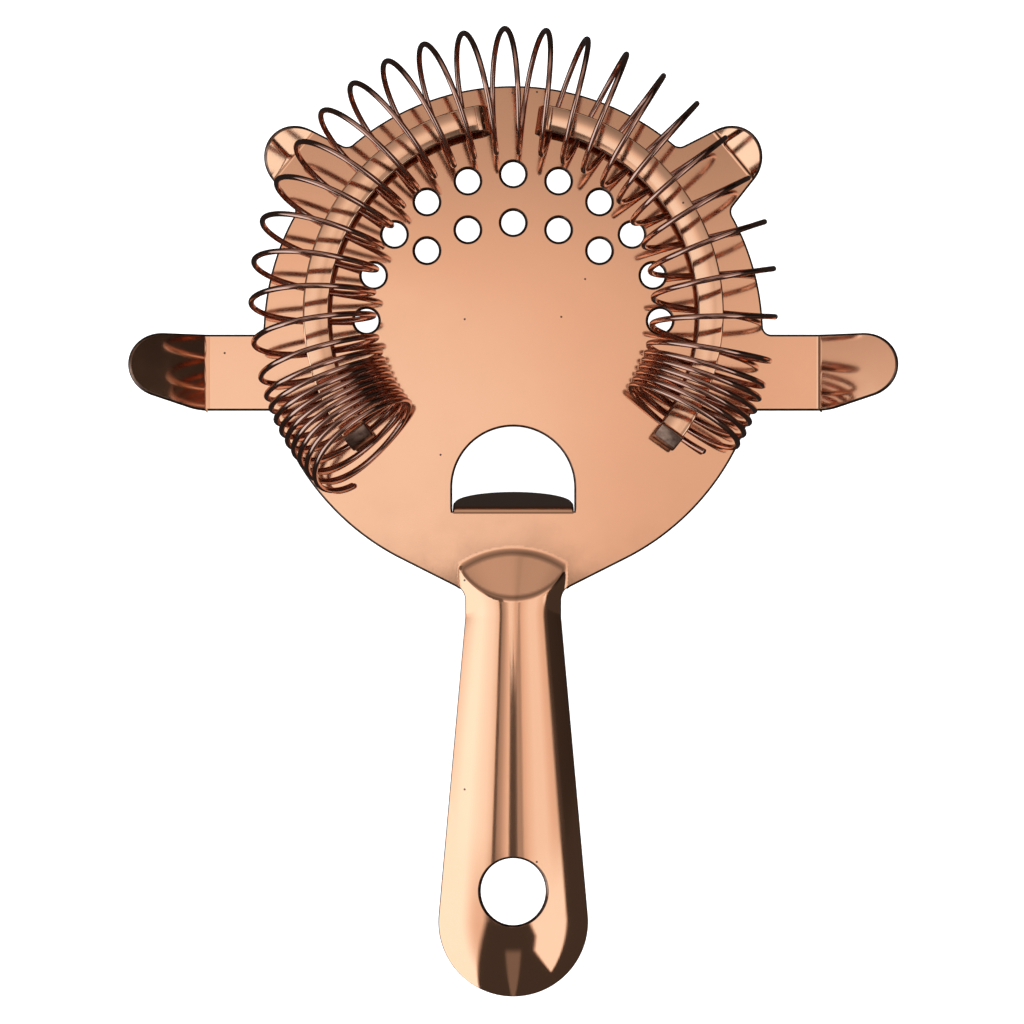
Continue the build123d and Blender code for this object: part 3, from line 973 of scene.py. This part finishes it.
def low_at_back(n, px, py):
    """Two soft boxes, and between them a dark gap with a brown strip in it."""
    middle = n.math("SUBTRACT", 1.0, n.edge(n.math("ABSOLUTE", px), 0.10, 0.17))
    strip = n.math("MULTIPLY", middle, n.edge(py, -0.55, -0.75))
    gap = n.math("MULTIPLY_ADD", strip, 0.15, 0.055)
    left_edge = n.math("MULTIPLY_ADD", py, 0.35, -0.40)
    left_box = n.edge(n.math("SUBTRACT", px, left_edge), 0.04, -0.10)
    left_value = n.math("MULTIPLY_ADD", n.edge(px, -0.6, -1.2), 0.35, 0.86)
    right_start = n.math("MAXIMUM", n.math("MULTIPLY_ADD", py, -0.5, 0.2), 0.2)
    right_start = n.math("MINIMUM", right_start, 0.38)
    right_start = n.math("MAXIMUM", right_start, n.math("MULTIPLY_ADD", py, -0.63, -0.04))
    right_box = n.edge(n.math("SUBTRACT", px, right_start), -0.03, 0.05)
    right_box = n.math("MULTIPLY", right_box, n.edge(px, 1.26, 1.14))
    return n.mix(right_box, n.mix(left_box, gap, left_value), 1.08)


def studio_light():
    """The studio as a function of direction. The handle, disc and domed end each mirror one part."""
    world = bpy.data.worlds.new("studio")
    world.use_nodes = True
    bpy.context.scene.world = world
    n = Nodes(world.node_tree)
    background = world.node_tree.nodes["Background"]
    split = n.add("ShaderNodeSeparateXYZ")
    n.join(n.add("ShaderNodeTexCoord").outputs["Generated"], split.inputs[0])
    dx, dy, dz = split.outputs
    height = n.math("MAXIMUM", dz, 0.02)
    px = n.math("DIVIDE", dx, height)
    py = n.math("DIVIDE", dy, height)
    across = n.math("MULTIPLY_ADD", n.math("ARCTAN2", dx, height), 1 / math.pi, 0.5)
    along = n.math("MULTIPLY_ADD", n.math("ARCTAN2", dy, height), 1 / math.pi, 0.5)

    value = overhead(n, px, py, across, along)
    value = n.mix(n.edge(py, -0.105, -0.135), value, low_at_back(n, px, py))

    # The brightest parts are a little cooler than the rest
    glow = n.math("MAXIMUM", n.math("SUBTRACT", value, 0.85), 0.0)
    colour = n.add("ShaderNodeCombineColor")
    n.join(value, colour.inputs[0])
    n.join(n.math("MULTIPLY_ADD", glow, 1.2, value), colour.inputs[1])
    n.join(n.math("MULTIPLY_ADD", glow, 2.0, value), colour.inputs[2])
    horizon = n.add("ShaderNodeMix", data_type="RGBA")
    n.join(n.edge(dz, 0.0, 0.08), horizon.inputs["Factor"])
    horizon.inputs["A"].default_value = (0.03, 0.03, 0.03, 1.0)
    n.join(colour.outputs[0], horizon.inputs["B"])
    n.join(horizon.outputs["Result"], background.inputs["Color"])
    background.inputs["Strength"].default_value = 1.0


def light_table():
    """Pale floor that turns up into a backdrop. It glows, so the holes look white."""
    low = cad_box[0][2]
    radius = 1.2
    bend = 0.5
    profile = [(0.0, 0.0), (0.3, 0.0), (radius, 0.0)]
    profile += [
        (radius + bend * math.sin(a), bend * (1 - math.cos(a)))
        for a in (math.pi / 2 * k / 10 for k in range(1, 11))
    ]
    profile.append((radius + bend, 2.5))
    sides = 64
    points = []
    faces = []
    for k, (r, z) in enumerate(profile):
        for i in range(sides):
            a = 2 * math.pi * i / sides
            points.append((r * math.cos(a), r * math.sin(a), low + z))
    for k in range(len(profile) - 1):
        for i in range(sides):
            j = (i + 1) % sides
            faces.append((k * sides + i, (k + 1) * sides + i, (k + 1) * sides + j, k * sides + j))
    floor = make_mesh("light_table", np.array(points) / MM, faces)
    material = bpy.data.materials.new("light_table")
    material.use_nodes = True
    shader = material.node_tree.nodes["Principled BSDF"]
    shader.inputs["Base Color"].default_value = (0.5, 0.5, 0.5, 1.0)
    shader.inputs["Roughness"].default_value = 0.9
    shader.inputs["Emission Color"].default_value = (1.0, 1.0, 1.0, 1.0)
    shader.inputs["Emission Strength"].default_value = 1.0
    floor.data.materials.append(material)
    floor.visible_glossy = False
    floor.visible_shadow = False


def camera():
    data = bpy.data.cameras.new("camera")
    data.sensor_width = 36.0
    data.lens = 36.0 * CAMERA_HEIGHT / VIEW_WIDTH
    data.clip_start = 0.01
    data.clip_end = 20.0
    eye = bpy.data.objects.new("camera", data)
    eye.location = (CAMERA_X * MM, CAMERA_Y * MM, CAMERA_HEIGHT * MM)
    bpy.context.scene.collection.objects.link(eye)
    bpy.context.scene.camera = eye


# --- build -----------------------------------------------------------------------------------

camera()
studio_light()
light_table()
bpy.context.scene.view_settings.view_transform = "Standard"

plate_copper = copper(
    "plate_copper", (0.965, 0.478, 0.280), (0.95, 0.465, 0.270), 0.05, 0.09, 0.00003)
rail_copper = copper("rail_copper", (0.97, 0.52, 0.32), (0.96, 0.50, 0.30), 0.05, 0.08, 0.00001)
# The spring wire's copper is a darker copy of the plate's: painted shade for the dark surroundings
# the wire mirrors.
wire_copper_painted_shade = copper("wire_copper_painted_shade", (0.66, 0.33, 0.235), (0.58, 0.28, 0.20), 0.10, 0.18, 0.0)
# The dark edge material goes on the sheet's cut edges and on the rails' sides and undersides; its
# darkness is partly painted shade.
edge_copper_and_painted_shade = sheared_edge_and_painted_shade()

plate = plate_mesh("plate_shell")
plate.data.materials.append(plate_copper)
plate.data.materials.append(edge_copper_and_painted_shade)
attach(plate, "frame")
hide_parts("strainer_plate")

for rail_name, node, side in (
        ("left_rail_strip", "left_spring_rail", -1), ("right_rail_strip", "right_spring_rail", 1)):
    rail = rail_mesh(rail_name, side)
    rail.data.materials.append(rail_copper)
    rail.data.materials.append(edge_copper_and_painted_shade)
    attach(rail, "frame")
    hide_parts(node)

coil = coil_mesh("coil_wire")
coil.data.materials.append(wire_copper_painted_shade)
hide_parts("coil_spring")
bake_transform(coil)
